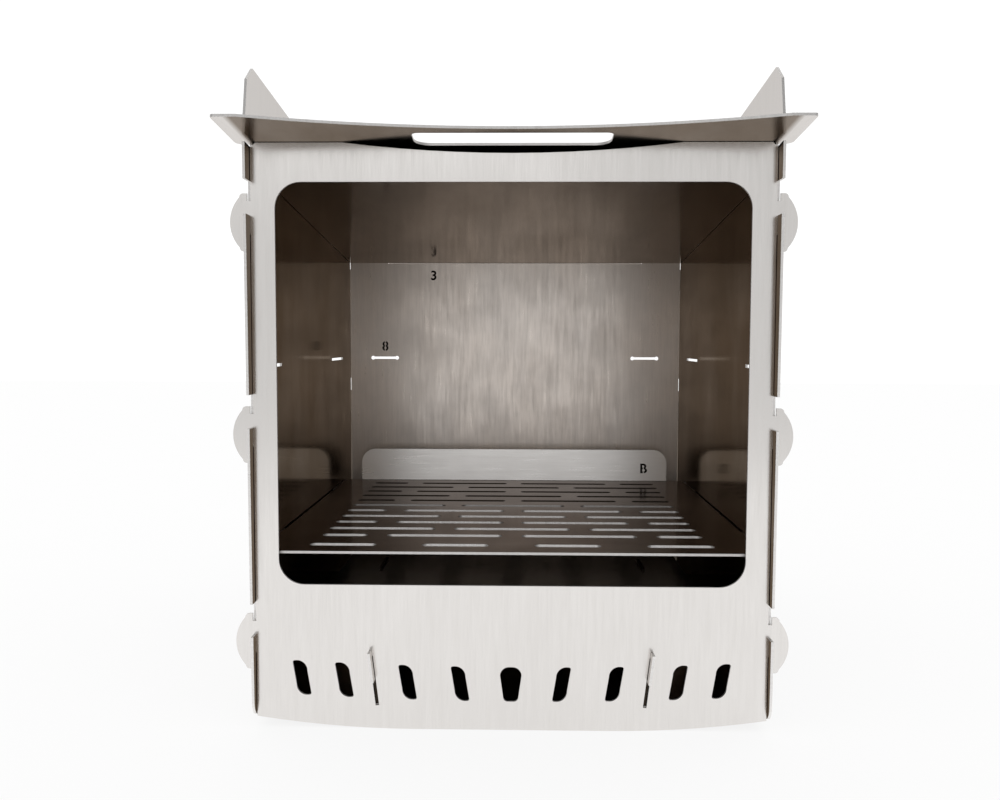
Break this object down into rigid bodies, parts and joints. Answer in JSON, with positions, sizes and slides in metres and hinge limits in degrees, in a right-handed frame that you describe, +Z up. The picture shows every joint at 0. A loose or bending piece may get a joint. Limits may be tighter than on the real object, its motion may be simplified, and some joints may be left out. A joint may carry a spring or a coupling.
{
  "type": "camping oven",
  "caption": "Flat-pack camping oven of slotted steel sheets: open-fronted baking chamber with a slotted shelf over a vented fire chamber, and a slide-out roof plate with a hand grip.",
  "frame": {"origin": "on the ground below the middle of the assembled oven", "axes": "+Z up, -Y the open front, +X to the right seen from the front"},
  "size_m": [0.3234, 0.3754, 0.385],
  "materials": {
    "front_steel": "brushed",
    "back_steel": "brushed",
    "side_steel": "brushed",
    "roof_steel": "brushed",
    "ceiling_steel": "brushed",
    "shelf_steel": "brushed",
    "fire_steel": "brushed"
  },
  "bodies": {
    "oven": {"front_panel": "front_steel", "back_panel": "back_steel", "left_side_panel": "side_steel", "right_side_panel": "side_steel", "ceiling_plate": "ceiling_steel", "baking_shelf": "shelf_steel", "heat_deflector": "fire_steel", "left_fire_wall": "fire_steel", "right_fire_wall": "fire_steel", "ash_floor": "fire_steel"},
    "roof": {"roof_plate": "roof_steel"}
  },
  "joints": [
    {"name": "roof_slide", "type": "slide", "parent": "oven", "child": "roof", "axis": [0, -0.9958, 0.092], "range_m": [0, 0.3]}
  ]
}
